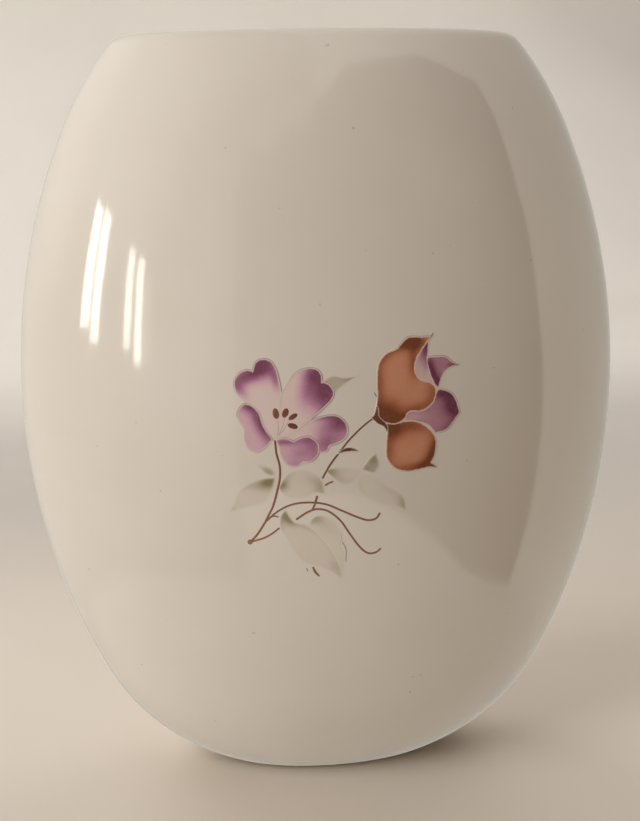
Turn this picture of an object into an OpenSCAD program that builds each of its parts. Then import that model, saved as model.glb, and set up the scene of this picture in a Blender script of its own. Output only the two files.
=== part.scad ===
// Oval porcelain flower vase with a fired floral transfer on its front.
// Millimetres, +Z up, origin on the floor at the middle of the foot, the flower on the -Y side.

/* [Vase] */
// Overall height
height = 240; // [180:1:320]
// Widest width, along X
body_w = 197; // [150:1:260]
// Widest depth, along Y
body_d = 114; // [80:1:180]
// Height of the widest level
belly_z = 130; // [100:1:170]

/* [Side curve] */
// Radius of the arc that carries the foot up into the side
lower_r = 70; // [40:1:75]
// Radius of the long arc through the widest level
belly_r = 208; // [160:1:300]
// Radius of the arc under the shoulder
upper_r = 105; // [60:1:150]
// Radius of the rolled shoulder at the rim
shoulder_r = 8; // [5:0.5:14]
// Angle below the widest level where the lower arc takes over
lower_angle = 27.5; // [20:0.5:35]
// Angle above the widest level where the upper arc takes over
upper_angle = 23.5; // [15:0.5:30]

/* [Wall and foot] */
// Thickness of the cast wall
wall = 4; // [2.5:0.1:6]
// Height of the inside floor above the table
floor_z = 6; // [4:0.1:12]
// Roundness of the mouth edge
lip_r = 1.9; // [0.8:0.1:1.9]
// Height of the foot ring below the side curve
foot_h = 0.6; // [0.5:0.1:3]
// Step in from the end of the side curve to the foot ring
foot_inset = 2.5; // [0.5:0.1:5]
// Width of the foot ring
foot_ring = 4.5; // [3:0.1:8]
// Depth of the hollow under the foot
foot_recess = 2.2; // [1:0.1:3]
// Chamfer on the foot's outer edge
foot_edge = 0.3; // [0.2:0.1:0.4]

/* [Transfer] */
// Thickness of the fired colour film
film_t = 0.3; // [0.2:0.05:0.6]
// Width of the flower stems
stem_w = 0.55; // [0.4:0.05:1.2]
// Width of the tendrils
tendril_w = 0.5; // [0.4:0.05:1]
// Points added to each span of a leaf or petal outline
smooth = 3; // [2:1:6]

/* [Hidden] */
$fn = 180;

porcelain = [0.93, 0.9, 0.84];
lilac = [0.66, 0.48, 0.68];
purple = [0.45, 0.25, 0.5];
russet = [0.62, 0.34, 0.2];
brown = [0.42, 0.24, 0.16];
grey_green = [0.68, 0.68, 0.56];

half_w = body_w / 2;
oval = body_d / body_w;
cavity_oval = (body_d / 2 - wall) / (half_w - wall);

function from(c, r, a) = [c[0] + r * cos(a), c[1] + r * sin(a)];

// Centres of the four tangent arcs of the side, as [radius, height]
belly_c = [half_w - belly_r, belly_z];
lower_c = from(belly_c, belly_r - lower_r, -lower_angle);
upper_c = from(belly_c, belly_r - upper_r, upper_angle);
shoulder_a = asin((height - shoulder_r - upper_c[1]) / (upper_r - shoulder_r));
shoulder_c = from(upper_c, upper_r - shoulder_r, shoulder_a);

// Angle at which the lower arc, drawn g wider, reaches height z
function low_angle(g, z) = -asin((lower_c[1] - z) / (lower_r + g));
foot_r = from(lower_c, lower_r, low_angle(0, foot_h))[0] - foot_inset;
neck_r = shoulder_c[0] - 0.8 - lip_r;
recess_r = foot_r - foot_ring;
recess_oval = (foot_r * oval - foot_ring) / recess_r;

// ---------- flower outlines, as [x, z] seen from the front ----------

// Open flower, doubled points are sharp corners
petal_upper_left = [
  [-23.1, 120.6], [-26.5, 124.5], [-28.3, 129.1], [-32.0, 132.0], [-34.0, 134.0],
  [-34.7, 137.4], [-33.3, 139.9], [-31.0, 141.0], [-29.2, 140.6], [-29.2, 140.6],
  [-28.3, 143.2], [-26.2, 144.2], [-23.9, 143.5], [-22.4, 140.9], [-21.6, 137.5],
  [-21.1, 133.9], [-21.1, 133.9], [-22.0, 127.6]
];
petal_upper_right = [
  [-22.9, 120.6], [-21.9, 127.6], [-21.0, 133.9], [-21.0, 133.9], [-19.3, 136.5],
  [-17.0, 139.5], [-14.0, 141.0], [-10.9, 140.9], [-9.2, 139.2], [-9.1, 136.8], [-9.1, 136.8],
  [-7.2, 136.3], [-5.6, 134.1], [-6.1, 131.9], [-8.5, 129.4], [-12.8, 125.7], [-13.6, 125.0],
  [-13.6, 125.0], [-17.6, 122.3]
];
petal_lower_left = [
  [-24.0, 120.2], [-24.0, 120.2], [-26.5, 124.1], [-27.8, 128.2], [-29.9, 130.4],
  [-32.0, 130.8], [-33.8, 128.7], [-33.7, 126.2], [-32.1, 123.3], [-32.2, 120.5],
  [-31.1, 117.5], [-28.6, 116.3], [-26.1, 117.8]
];
petal_lower_right = [
  [-22.4, 120.3], [-17.6, 122.2], [-13.6, 125.0], [-13.6, 125.0], [-9.6, 126.4], [-5.3, 126.7],
  [-2.7, 125.1], [-1.6, 122.4], [-2.4, 119.7], [-5.1, 118.2], [-7.1, 117.7], [-7.1, 117.7],
  [-8.0, 116.0], [-10.2, 115.9], [-12.9, 118.6], [-17.6, 119.8]
];
petal_bottom = [
  [-22.9, 119.9], [-22.9, 119.9], [-20.3, 120.3], [-17.7, 119.2], [-17.7, 119.2],
  [-15.5, 120.4], [-13.1, 120.5], [-10.6, 118.5], [-10.5, 115.4], [-12.7, 113.0],
  [-15.0, 112.9], [-16.9, 111.7], [-19.4, 112.1], [-21.2, 114.5], [-22.0, 117.7]
];
// Pollen heads: x, z, width, length, lean
anthers = [
  [-22.8, 127.9, 2.2, 3.9, 8], [-20.0, 128.0, 2.1, 3.3, -22], [-17.8, 126.8, 1.7, 3.4, -58],
  [-17.9, 124.0, 1.9, 3.5, 72]
];
eye = [-22.9, 120.4];
leaflet = [
  [-8.3, 137.1], [-5.6, 138.7], [-1.9, 138.0], [2.5, 138.7], [2.5, 138.7], [-0.9, 136.8],
  [-4.0, 134.6], [-5.4, 133.4], [-5.4, 133.4]
];

// Closed bud
russet_upper = [
  [24.6, 149.1], [24.6, 149.1], [21.3, 148.9], [17.5, 149.1], [15.0, 147.0], [13.9, 145.8],
  [10.4, 144.4], [8.2, 141.5], [7.6, 136.6], [7.7, 131.8], [6.9, 127.0], [7.4, 125.6],
  [10.1, 123.8], [13.2, 123.3], [15.7, 124.5], [17.4, 126.7], [21.6, 126.8], [24.7, 128.8],
  [25.9, 132.2], [24.5, 134.8], [21.1, 136.1], [19.3, 138.6], [19.6, 142.1], [22.1, 146.0]
];
russet_lower = [
  [10.5, 123.6], [13.7, 123.4], [16.5, 123.9], [20.2, 123.3], [23.7, 120.9], [25.8, 117.5],
  [25.6, 113.2], [24.4, 110.3], [24.4, 110.3], [26.2, 108.8], [23.6, 109.0], [19.9, 108.5],
  [16.5, 108.3], [12.9, 109.6], [10.5, 112.7], [10.3, 116.9], [10.6, 120.7]
];
calyx = [
  [7.3, 129.6], [7.3, 129.6], [6.5, 126.4], [5.7, 125.7], [7.4, 123.7], [9.6, 122.4],
  [10.5, 120.2], [10.5, 120.2], [10.8, 122.4], [10.1, 123.8], [8.2, 125.8], [8.0, 128.0]
];
violet_sliver = [
  [23.8, 148.6], [23.8, 148.6], [23.5, 144.8], [23.2, 141.5], [24.1, 138.0], [25.7, 133.5],
  [25.7, 133.5], [22.5, 135.7], [20.3, 137.0], [19.3, 138.9], [19.8, 142.1], [21.8, 145.5]
];
violet_curl = [
  [23.2, 142.3], [25.8, 142.8], [29.1, 142.5], [31.0, 141.0], [32.6, 139.9], [32.6, 139.9],
  [30.5, 139.3], [28.6, 138.0], [27.5, 135.9], [26.6, 133.0], [26.6, 133.0], [25.1, 135.3],
  [23.8, 138.6]
];
violet_lower = [
  [27.1, 132.8], [30.2, 131.8], [32.2, 129.6], [33.6, 125.3], [33.6, 125.3], [31.6, 122.7],
  [29.3, 120.3], [25.7, 119.5], [25.7, 119.5], [23.6, 122.0], [21.0, 123.2], [17.1, 123.9],
  [16.1, 124.5], [17.5, 126.6], [21.6, 126.7], [24.7, 128.6], [26.0, 131.7]
];

// Leaves
leaf_A = [
  [-23.2, 108.5], [-23.2, 108.5], [-27.3, 108.2], [-31.8, 106.4], [-34.5, 103.9],
  [-36.0, 100.2], [-37.3, 97.3], [-37.3, 97.3], [-33.6, 98.4], [-29.6, 99.6], [-26.3, 101.2],
  [-24.1, 104.6]
];
leaf_B = [
  [-23.0, 109.1], [-23.0, 109.1], [-24.1, 111.2], [-26.7, 112.3], [-29.9, 113.1],
  [-29.9, 113.1], [-27.2, 110.2], [-25.0, 108.8]
];
leaf_C = [
  [-22.4, 105.1], [-22.4, 105.1], [-20.9, 107.9], [-18.9, 109.9], [-15.1, 110.7],
  [-11.4, 109.3], [-9.3, 106.6], [-8.4, 102.3], [-8.4, 102.3], [-11.5, 103.0], [-15.2, 101.6],
  [-19.0, 101.8], [-21.5, 103.3]
];
leaf_D = [
  [-8.7, 110.3], [-8.7, 110.3], [-4.4, 110.9], [2.6, 110.1], [2.6, 110.1], [1.9, 107.4],
  [-0.6, 105.5], [-3.4, 105.4], [-6.4, 107.7]
];
leaf_D2 = [
  [2.5, 109.7], [2.5, 109.7], [4.3, 112.3], [7.0, 114.8], [7.0, 114.8], [8.1, 111.5],
  [7.0, 108.8], [5.7, 108.4]
];
leaf_E = [
  [1.1, 105.8], [2.6, 108.4], [6.0, 107.9], [10.1, 104.5], [14.1, 102.0], [16.1, 99.7],
  [16.7, 95.5], [16.7, 95.5], [13.2, 97.3], [8.2, 98.5], [4.3, 100.5], [1.6, 103.5]
];
leaf_F = [
  [-20.4, 98.4], [-20.4, 98.4], [-22.0, 96.1], [-22.1, 92.7], [-20.4, 89.1], [-17.6, 83.9],
  [-14.5, 80.7], [-9.9, 79.0], [-6.0, 77.0], [-3.1, 74.2], [-3.1, 74.2], [-3.6, 78.6],
  [-5.5, 82.9], [-8.0, 86.7], [-11.0, 90.6], [-14.2, 93.0], [-18.0, 94.4]
];
leaf_G = [
  [-13.1, 92.1], [-12.7, 94.8], [-10.4, 96.1], [-7.3, 95.2], [-4.9, 92.6], [-3.6, 88.9],
  [-3.2, 85.6], [-2.1, 83.1], [-2.6, 79.0], [-3.2, 75.5], [-5.5, 82.7], [-8.8, 87.9]
];

// Middle lines of the stems and tendrils
stem_1 = [
  [-23.2, 119.9], [-22.9, 115.9], [-22.0, 112.0], [-22.0, 108.2], [-22.8, 104.3], [-24.0, 99.8],
  [-25.5, 96.5], [-26.8, 93.9], [-29.1, 90.2], [-31.1, 88.0]
];
stem_2 = [
  [7.1, 125.9], [3.3, 123.2], [-0.6, 119.6], [-3.8, 115.8], [-6.6, 112.2], [-8.2, 109.6],
  [-9.3, 107.6]
];
stem_2b = [
  [-10.9, 102.2], [-11.6, 99.7], [-12.5, 97.7]
];
dash = [
  [-8.5, 105.3], [-7.4, 106.0], [-6.0, 106.5]
];
sepal = [
  [-5.0, 114.9], [-5.0, 114.9], [-3.0, 116.5], [-0.6, 116.8], [1.5, 115.9], [1.9, 115.0],
  [1.9, 115.0], [0.6, 115.5], [-1.7, 115.5]
];
tendril_1 = [
  [-26.4, 94.5], [-22.7, 97.7], [-18.5, 99.7], [-13.6, 100.2], [-8.3, 99.4], [-3.4, 97.1],
  [1.5, 94.7], [4.6, 93.6], [7.1, 94.0], [8.3, 95.7]
];
tendril_2a = [
  [-31.1, 88.0], [-27.1, 89.2], [-24.4, 90.7], [-22.3, 92.4]
];
tendril_2b = [
  [-17.3, 94.9], [-13.7, 97.2], [-10.7, 98.0], [-7.5, 97.1], [-4.0, 94.1], [-0.9, 89.4],
  [2.1, 85.1], [4.7, 82.9], [7.2, 83.0], [8.7, 84.2]
];
twig = [
  [-24.9, 96.0], [-23.7, 96.2], [-22.5, 95.9]
];
mark = [
  [-12.3, 79.4], [-11.5, 77.6], [-10.3, 76.2]
];

// ---------- curves ----------

function spline_point(a, b, c, d, t) =
  0.5 * ((2 * b) + (c - a) * t + (2 * a - 5 * b + 4 * c - d) * t * t
    + (3 * b - a - 3 * c + d) * t * t * t);
function closed_curve(p, n) = let (m = len(p)) [
  for (i = [0:m - 1]) if (norm(p[(i + 1) % m] - p[i]) > 0.01) for (j = [0:n - 1])
    spline_point(p[(i + m - 1) % m], p[i], p[(i + 1) % m], p[(i + 2) % m], j / n)
];
function open_curve(p, n) = let (m = len(p)) concat([
  for (i = [0:m - 2]) for (j = [0:n - 1])
    spline_point(p[max(i - 1, 0)], p[i], p[i + 1], p[min(i + 2, m - 1)], j / n)
], [p[m - 1]]);
function side_step(p, i) = let (d = p[min(i + 1, len(p) - 1)] - p[max(i - 1, 0)])
  [-d[1], d[0]] / norm(d);

module outline(p) {
  polygon(closed_curve(p, smooth));
}

// A line of width w0 at its start and w1 at its end
module stroke(p, w0, w1, n = 2) {
  q = open_curve(p, n);
  m = len(q) - 1;
  function half(i) = (w0 + (w1 - w0) * i / m) / 2;
  polygon(concat(
    [for (i = [0:m]) q[i] + side_step(q, i) * half(i)],
    [for (i = [m:-1:0]) q[i] - side_step(q, i) * half(i)]
  ));
}

// ---------- vase ----------

// Points along an arc, about one step apart, without the last
function arc(c, r, a, b, step) = let (n = ceil(abs(b - a) * PI / 180 * r / step))
  [for (i = [0:n - 1]) from(c, r, a + (b - a) * i / n)];

// The side curve drawn g wider, from height z0 up to the rim
function side_points(g, z0) = concat(
  arc(lower_c, lower_r + g, low_angle(g, z0), -lower_angle, 3),
  arc(belly_c, belly_r + g, -lower_angle, upper_angle, 6),
  arc(upper_c, upper_r + g, upper_angle, shoulder_a, 4),
  arc(shoulder_c, shoulder_r + g, shoulder_a, 90, 1.2),
  [from(shoulder_c, shoulder_r + g, 90)]
);

module outer_region() {
  polygon(concat(
    [[0, 0], [foot_r - foot_edge, 0], [foot_r, foot_edge], [foot_r, foot_h]],
    side_points(0, foot_h), [[0, height]]
  ));
}

module cavity_region() {
  lip_c = [neck_r + lip_r, height - lip_r + 0.05];
  polygon(concat(
    [[0, floor_z]], side_points(-wall, floor_z),
    [[neck_r, height - wall]], arc(lip_c, lip_r, 180, 99, 0.4),
    [[neck_r + lip_r, height + 1], [0, height + 1]]
  ));
}

// A half section turned round the axis and narrowed to the oval plan, in two halves
module oval_turn(ratio) {
  for (start = [0, 180]) rotate([0, 0, start])
    scale([1, ratio, 1]) rotate_extrude(angle = 180) children();
}

module vase_body() {
  color(porcelain)
    difference() {
      oval_turn(oval) outer_region();
      oval_turn(cavity_oval) cavity_region();
      translate([0, 0, -1]) scale([1, recess_oval, 1])
        cylinder(h = foot_recess + 1, r = recess_r);
    }
}

// ---------- transfer ----------

// The glaze-hugging skin inside an outline drawn in front of the vase
module film() {
  intersection() {
    scale([1, oval, 1]) rotate_extrude() difference() {
      intersection() {
        translate(belly_c) circle(belly_r + film_t / oval);
        translate([half_w / 2, belly_z - 70]) square([half_w, 110]);
      }
      translate(belly_c) circle(belly_r);
    }
    rotate([90, 0, 0]) linear_extrude(height = body_d) children();
  }
}

module pollen() {
  for (a = anthers)
    translate([a[0], a[1]]) rotate(a[4]) scale([a[2] / a[3], 1]) circle(d = a[3], $fn = 36);
}

module stamens_flat() {
  pollen();
  stroke([eye + [0.3, 1], [-22.1, 123.6], [-22.6, 126.6]], 0.35, 0.35);
  stroke([eye + [0.5, 1], [-21, 123.5], [-20.2, 126.8]], 0.35, 0.35);
  stroke([eye + [0.8, 0.9], [-20.4, 123.2], [-18.8, 126.2]], 0.35, 0.35);
}

module stem_left_flat() {
  stroke(stem_1, stem_w, stem_w * 1.15);
  translate(stem_1[9]) circle(d = stem_w * 2.6, $fn = 24);
}

module stem_right_flat() {
  stroke(stem_2, stem_w * 0.8, stem_w);
  stroke(stem_2b, stem_w * 1.1, stem_w);
  stroke(dash, stem_w, stem_w * 0.7);
}

module tendril_low_flat() {
  stroke(tendril_2a, tendril_w, tendril_w);
  stroke(tendril_2b, tendril_w * 1.1, tendril_w);
  stroke(mark, tendril_w, tendril_w * 1.3);
}

module tendril_high_flat() {
  stroke(tendril_1, tendril_w, tendril_w * 1.1);
  stroke(twig, tendril_w, tendril_w * 0.8);
}

module open_flower_flat() {
  outline(petal_upper_left);
  outline(petal_upper_right);
  outline(petal_lower_left);
  outline(petal_lower_right);
  outline(petal_bottom);
}

module petal_lower_left() {
  color(lilac) film() outline(petal_lower_left);
}

module petal_bottom() {
  color(lilac) film() outline(petal_bottom);
}

module petal_upper_left() {
  color(lilac) film() difference() {
    outline(petal_upper_left);
    outline(petal_lower_left);
    stamens_flat();
  }
}

module petal_upper_right() {
  color(lilac) film() difference() {
    outline(petal_upper_right);
    outline(petal_upper_left);
    outline(petal_lower_left);
    outline(petal_bottom);
    stamens_flat();
  }
}

module petal_lower_right() {
  color(lilac) film() difference() {
    outline(petal_lower_right);
    outline(petal_upper_right);
    outline(petal_upper_left);
    outline(petal_lower_left);
    outline(petal_bottom);
    stamens_flat();
  }
}

module stamens() {
  color(brown) film() difference() {
    stamens_flat();
    outline(petal_lower_left);
    outline(petal_bottom);
  }
}

module leaflet() {
  color(grey_green) film() difference() {
    outline(leaflet);
    outline(petal_upper_right);
  }
}

module bud_upper_petal() {
  color(russet) film() outline(russet_upper);
}

module bud_lower_petal() {
  color(russet) film() difference() {
    outline(russet_lower);
    outline(russet_upper);
  }
}

module bud_calyx() {
  color(brown) film() difference() {
    outline(calyx);
    outline(russet_upper);
    outline(russet_lower);
  }
}

module bud_violet_sliver() {
  color(lilac) film() difference() {
    outline(violet_sliver);
    outline(russet_upper);
  }
}

module bud_violet_curl() {
  color(purple) film() difference() {
    outline(violet_curl);
    outline(violet_sliver);
    outline(russet_upper);
  }
}

module bud_violet_lower() {
  color(purple) film() difference() {
    outline(violet_lower);
    outline(violet_curl);
    outline(russet_upper);
    outline(russet_lower);
  }
}

module leaf_left() {
  color(grey_green) film() difference() {
    outline(leaf_A);
    stem_left_flat();
  }
}

module leaf_left_small() {
  color(grey_green) film() difference() {
    outline(leaf_B);
    outline(leaf_A);
    stem_left_flat();
  }
}

module leaf_centre() {
  color(grey_green) film() difference() {
    outline(leaf_C);
    stem_left_flat();
    stem_right_flat();
  }
}

module leaf_right() {
  color(grey_green) film() difference() {
    outline(leaf_D);
    stem_right_flat();
  }
}

module leaf_right_small() {
  color(grey_green) film() difference() {
    outline(leaf_D2);
    outline(leaf_D);
  }
}

module leaf_right_long() {
  color(grey_green) film() difference() {
    outline(leaf_E);
    outline(leaf_D);
    outline(leaf_D2);
  }
}

module leaf_low_front() {
  color(grey_green) film() difference() {
    outline(leaf_F);
    tendril_low_flat();
    tendril_high_flat();
  }
}

module leaf_low_back() {
  color(grey_green) film() difference() {
    outline(leaf_G);
    outline(leaf_F);
    tendril_low_flat();
  }
}

module stem_left() {
  color(brown) film() difference() {
    stem_left_flat();
    open_flower_flat();
  }
}

module stem_right() {
  color(brown) film() difference() {
    stem_right_flat();
    outline(calyx);
    outline(russet_upper);
    tendril_high_flat();
    tendril_low_flat();
  }
}

module sepal() {
  color(brown) film() difference() {
    outline(sepal);
    stem_right_flat();
  }
}

module tendril_high() {
  color(brown) film() difference() {
    tendril_high_flat();
    stem_left_flat();
  }
}

module tendril_low() {
  color(brown) film() difference() {
    tendril_low_flat();
    stem_left_flat();
  }
}

vase_body();
petal_upper_left();
petal_upper_right();
petal_lower_left();
petal_lower_right();
petal_bottom();
stamens();
leaflet();
bud_upper_petal();
bud_lower_petal();
bud_calyx();
bud_violet_sliver();
bud_violet_curl();
bud_violet_lower();
leaf_left();
leaf_left_small();
leaf_centre();
leaf_right();
leaf_right_small();
leaf_right_long();
leaf_low_front();
leaf_low_back();
stem_left();
stem_right();
sepal();
tendril_high();
tendril_low();
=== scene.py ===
import math

import bmesh
import bpy
import numpy as np
from mathutils import Matrix, Vector
from mathutils.geometry import delaunay_2d_cdt


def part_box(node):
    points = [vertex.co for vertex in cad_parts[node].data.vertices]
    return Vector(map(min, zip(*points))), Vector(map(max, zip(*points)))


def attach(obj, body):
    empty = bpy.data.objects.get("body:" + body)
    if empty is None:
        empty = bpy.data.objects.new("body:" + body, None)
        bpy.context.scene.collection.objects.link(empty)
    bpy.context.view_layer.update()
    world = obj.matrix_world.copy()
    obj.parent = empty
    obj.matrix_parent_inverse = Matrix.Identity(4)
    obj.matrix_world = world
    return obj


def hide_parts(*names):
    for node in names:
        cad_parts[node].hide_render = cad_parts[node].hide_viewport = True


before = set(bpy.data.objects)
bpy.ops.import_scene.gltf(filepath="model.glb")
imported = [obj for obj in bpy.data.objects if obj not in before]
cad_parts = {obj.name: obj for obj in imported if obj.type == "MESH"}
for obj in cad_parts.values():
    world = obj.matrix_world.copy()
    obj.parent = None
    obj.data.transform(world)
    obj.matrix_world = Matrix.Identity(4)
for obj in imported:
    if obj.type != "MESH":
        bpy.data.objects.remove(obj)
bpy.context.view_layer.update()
bpy.context.scene.view_settings.view_transform = "Standard"

# Millimetres and radians. The sizes and the side curve's arcs are the CAD's.
MM = 0.001
LOW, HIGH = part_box("vase_body")
HALF_W = (HIGH.x - LOW.x) / 2 / MM
HALF_D = (HIGH.y - LOW.y) / 2 / MM
HEIGHT = (HIGH.z - LOW.z) / MM
OVAL = HALF_D / HALF_W
WALL, FLOOR_Z, LIP_R, FOOT_H, FOOT_INSET = 4.0, 6.0, 1.9, 0.6, 2.5
FOOT_RING, RECESS, FOOT_EDGE = 4.5, 2.2, 0.3
# Flat width of the rim between the shoulder's roll and the lip
RIM_FLAT = 0.8
# Roundings of the hollow under the foot, of the foot ring and of the neck's lower edge
ROOF_ROUND, RING_ROUND, NECK_ROUND = 0.6, 0.5, 0.9
CAVITY_OVAL = (HALF_D - WALL) / (HALF_W - WALL)
LOWER_R, BELLY_R, UPPER_R, SHOULDER_R, BELLY_Z = 70.0, 208.0, 105.0, 8.0, 130.0
LOWER_A, UPPER_A = math.radians(27.5), math.radians(23.5)
# Steps round the body and round a dot, and the spacing of the points inside a film
AROUND, DOT_AROUND = 224, 28
GRID, ROW = 0.32, 0.32 * 0.866


# ---------------------------------------------------------------- vase shape

def off(c, r, a):
    """The point at distance r from c in direction a."""
    return (c[0] + r * math.cos(a), c[1] + r * math.sin(a))


BELLY_C = (HALF_W - BELLY_R, BELLY_Z)
LOWER_C = off(BELLY_C, BELLY_R - LOWER_R, -LOWER_A)
UPPER_C = off(BELLY_C, BELLY_R - UPPER_R, UPPER_A)
SHOULDER_A = math.asin((HEIGHT - SHOULDER_R - UPPER_C[1]) / (UPPER_R - SHOULDER_R))
SHOULDER_C = off(UPPER_C, UPPER_R - SHOULDER_R, SHOULDER_A)
NECK_R = SHOULDER_C[0] - RIM_FLAT - LIP_R


def low_angle(g, z):
    """Where the lower arc, grown by g, is at height z."""
    return -math.asin((LOWER_C[1] - z) / (LOWER_R + g))


SIDE_END = off(LOWER_C, LOWER_R, low_angle(0, FOOT_H))
FOOT_R = SIDE_END[0] - FOOT_INSET
RECESS_R = FOOT_R - FOOT_RING
RECESS_OVAL = (FOOT_R * OVAL - FOOT_RING) / RECESS_R


def arc(c, r, a, b, step):
    """Points along an arc from angle a towards b, about a step apart, without the last one."""
    n = max(2, math.ceil(abs(b - a) * r / step))
    return [off(c, r, a + (b - a) * i / n) for i in range(n)]


def side(g, z0, fine=1.0):
    """The side curve from height z0 up to the rim, grown by g; a higher fine has wider steps."""
    return (
        arc(LOWER_C, LOWER_R + g, low_angle(g, z0), -LOWER_A, 1.6 * fine)
        + arc(BELLY_C, BELLY_R + g, -LOWER_A, UPPER_A, 2.4 * fine)
        + arc(UPPER_C, UPPER_R + g, UPPER_A, SHOULDER_A, 2.0 * fine)
        + arc(SHOULDER_C, SHOULDER_R + g, SHOULDER_A, math.pi / 2, 0.6 * fine)
        + [off(SHOULDER_C, SHOULDER_R + g, math.pi / 2)]
    )


def radius_at(z):
    """Outer half width at height z, between the foot ring and the shoulder."""
    if z < off(LOWER_C, LOWER_R, -LOWER_A)[1]:
        c, r = LOWER_C, LOWER_R
    elif z < off(BELLY_C, BELLY_R, UPPER_A)[1]:
        c, r = BELLY_C, BELLY_R
    else:
        c, r = UPPER_C, UPPER_R
    return c[0] + math.sqrt(max(r * r - (z - c[1]) ** 2, 0.0))


def on_glaze(x, z, lift):
    """The point of the front at x, z in millimetres, lifted off the glaze, in metres."""
    r = radius_at(z)
    y = -OVAL * math.sqrt(max(r * r - x * x, 0.0))
    slope = (radius_at(z + 0.05) - radius_at(z - 0.05)) / 0.1
    outward = Vector((x / (r * r), y / (OVAL * r) ** 2, -slope * (x * x / r**3 + y * y / (OVAL**2 * r**3))))
    outward.normalize()
    return (Vector((x, y, z)) + outward * lift) * MM


def new_piece(name, verts, faces, material, nodes):
    mesh = bpy.data.meshes.new(name)
    mesh.from_pydata(verts, [], faces)
    mesh.validate()
    mesh.update()
    mesh.polygons.foreach_set("use_smooth", [True] * len(mesh.polygons))
    ob = bpy.data.objects.new(name, mesh)
    bpy.context.scene.collection.objects.link(ob)
    mesh.materials.append(material)
    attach(ob, "root")
    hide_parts(*nodes)
    return ob


# ---------------------------------------------------------------- materials

def tree_of(name):
    mat = bpy.data.materials.new(name)
    mat.use_nodes = True
    nt = mat.node_tree
    nt.nodes.clear()
    out = nt.nodes.new("ShaderNodeOutputMaterial")
    bsdf = nt.nodes.new("ShaderNodeBsdfPrincipled")
    nt.links.new(bsdf.outputs["BSDF"], out.inputs["Surface"])
    return mat, nt, bsdf


def node(nt, kind, **values):
    n = nt.nodes.new(kind)
    for k, v in values.items():
        if k in n.inputs:
            n.inputs[k].default_value = v
        else:
            setattr(n, k, v)
    return n


def noise(nt, where, scale, detail=3.0, rough=0.5, seed=(0, 0, 0)):
    mp = node(nt, "ShaderNodeMapping")
    mp.inputs["Location"].default_value = seed
    nt.links.new(where, mp.inputs["Vector"])
    n = node(nt, "ShaderNodeTexNoise", Scale=scale, Detail=detail, Roughness=rough)
    nt.links.new(mp.outputs["Vector"], n.inputs["Vector"])
    return n.outputs["Fac"]


def ramp(nt, fac, stops, interp="EASE"):
    r = nt.nodes.new("ShaderNodeValToRGB")
    r.color_ramp.interpolation = interp
    els = r.color_ramp.elements
    while len(els) < len(stops):
        els.new(0.5)
    for e, (p, c) in zip(els, stops):
        e.position = p
        e.color = (*c, 1.0)
    nt.links.new(fac, r.inputs["Fac"])
    return r.outputs["Color"]


def mix(nt, fac, a, b, kind="MIX"):
    m = nt.nodes.new("ShaderNodeMix")
    m.data_type = "RGBA"
    m.blend_type = kind
    for socket, v in ((m.inputs[0], fac), (m.inputs[6], a), (m.inputs[7], b)):
        if isinstance(v, bpy.types.NodeSocket):
            nt.links.new(v, socket)
        elif isinstance(v, tuple):
            socket.default_value = (*v, 1.0)
        else:
            socket.default_value = v
    return m.outputs[2]


def maths(nt, op, a, b=0.0, clamp=False):
    m = nt.nodes.new("ShaderNodeMath")
    m.operation = op
    m.use_clamp = clamp
    for socket, v in zip(m.inputs, (a, b)):
        if isinstance(v, bpy.types.NodeSocket):
            nt.links.new(v, socket)
        else:
            socket.default_value = v
    return m.outputs[0]


GLAZE_LIGHT, GLAZE_DEEP = (0.80, 0.74, 0.655), (0.765, 0.70, 0.61)
COAT, ENAMEL_ROUGH = 0.35, 0.16


def glaze_colour(nt, where):
    """Ivory glaze with faint clouding and a few iron specks."""
    cloud = noise(nt, where, 14.0, 4.0, 0.55)
    base = ramp(nt, cloud, [(0.32, GLAZE_DEEP), (0.7, GLAZE_LIGHT)])
    specks = noise(nt, where, 620.0, 0.0, 0.5, (3.1, 1.7, 5.3))
    mask = ramp(nt, specks, [(0.882, (0, 0, 0)), (0.9, (1, 1, 1))], "LINEAR")
    return mix(nt, maths(nt, "MULTIPLY", mask, 0.35), base, (0.36, 0.27, 0.19))


def glaze_bump(nt, bsdf, where):
    """Slow swell of a slip-cast wall and the fine orange peel of its glaze."""
    swell = noise(nt, where, 22.0, 2.0, 0.4)
    peel = noise(nt, where, 420.0, 2.0, 0.5)
    broad = node(nt, "ShaderNodeBump", Strength=0.22, Distance=0.0016)
    nt.links.new(swell, broad.inputs["Height"])
    fine = node(nt, "ShaderNodeBump", Strength=0.05, Distance=0.0002)
    nt.links.new(peel, fine.inputs["Height"])
    nt.links.new(broad.outputs["Normal"], fine.inputs["Normal"])
    nt.links.new(fine.outputs["Normal"], bsdf.inputs["Normal"])


def glaze_finish(bsdf):
    bsdf.inputs["IOR"].default_value = 1.5
    bsdf.inputs["Coat Weight"].default_value = COAT
    bsdf.inputs["Coat Roughness"].default_value = 0.045


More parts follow.
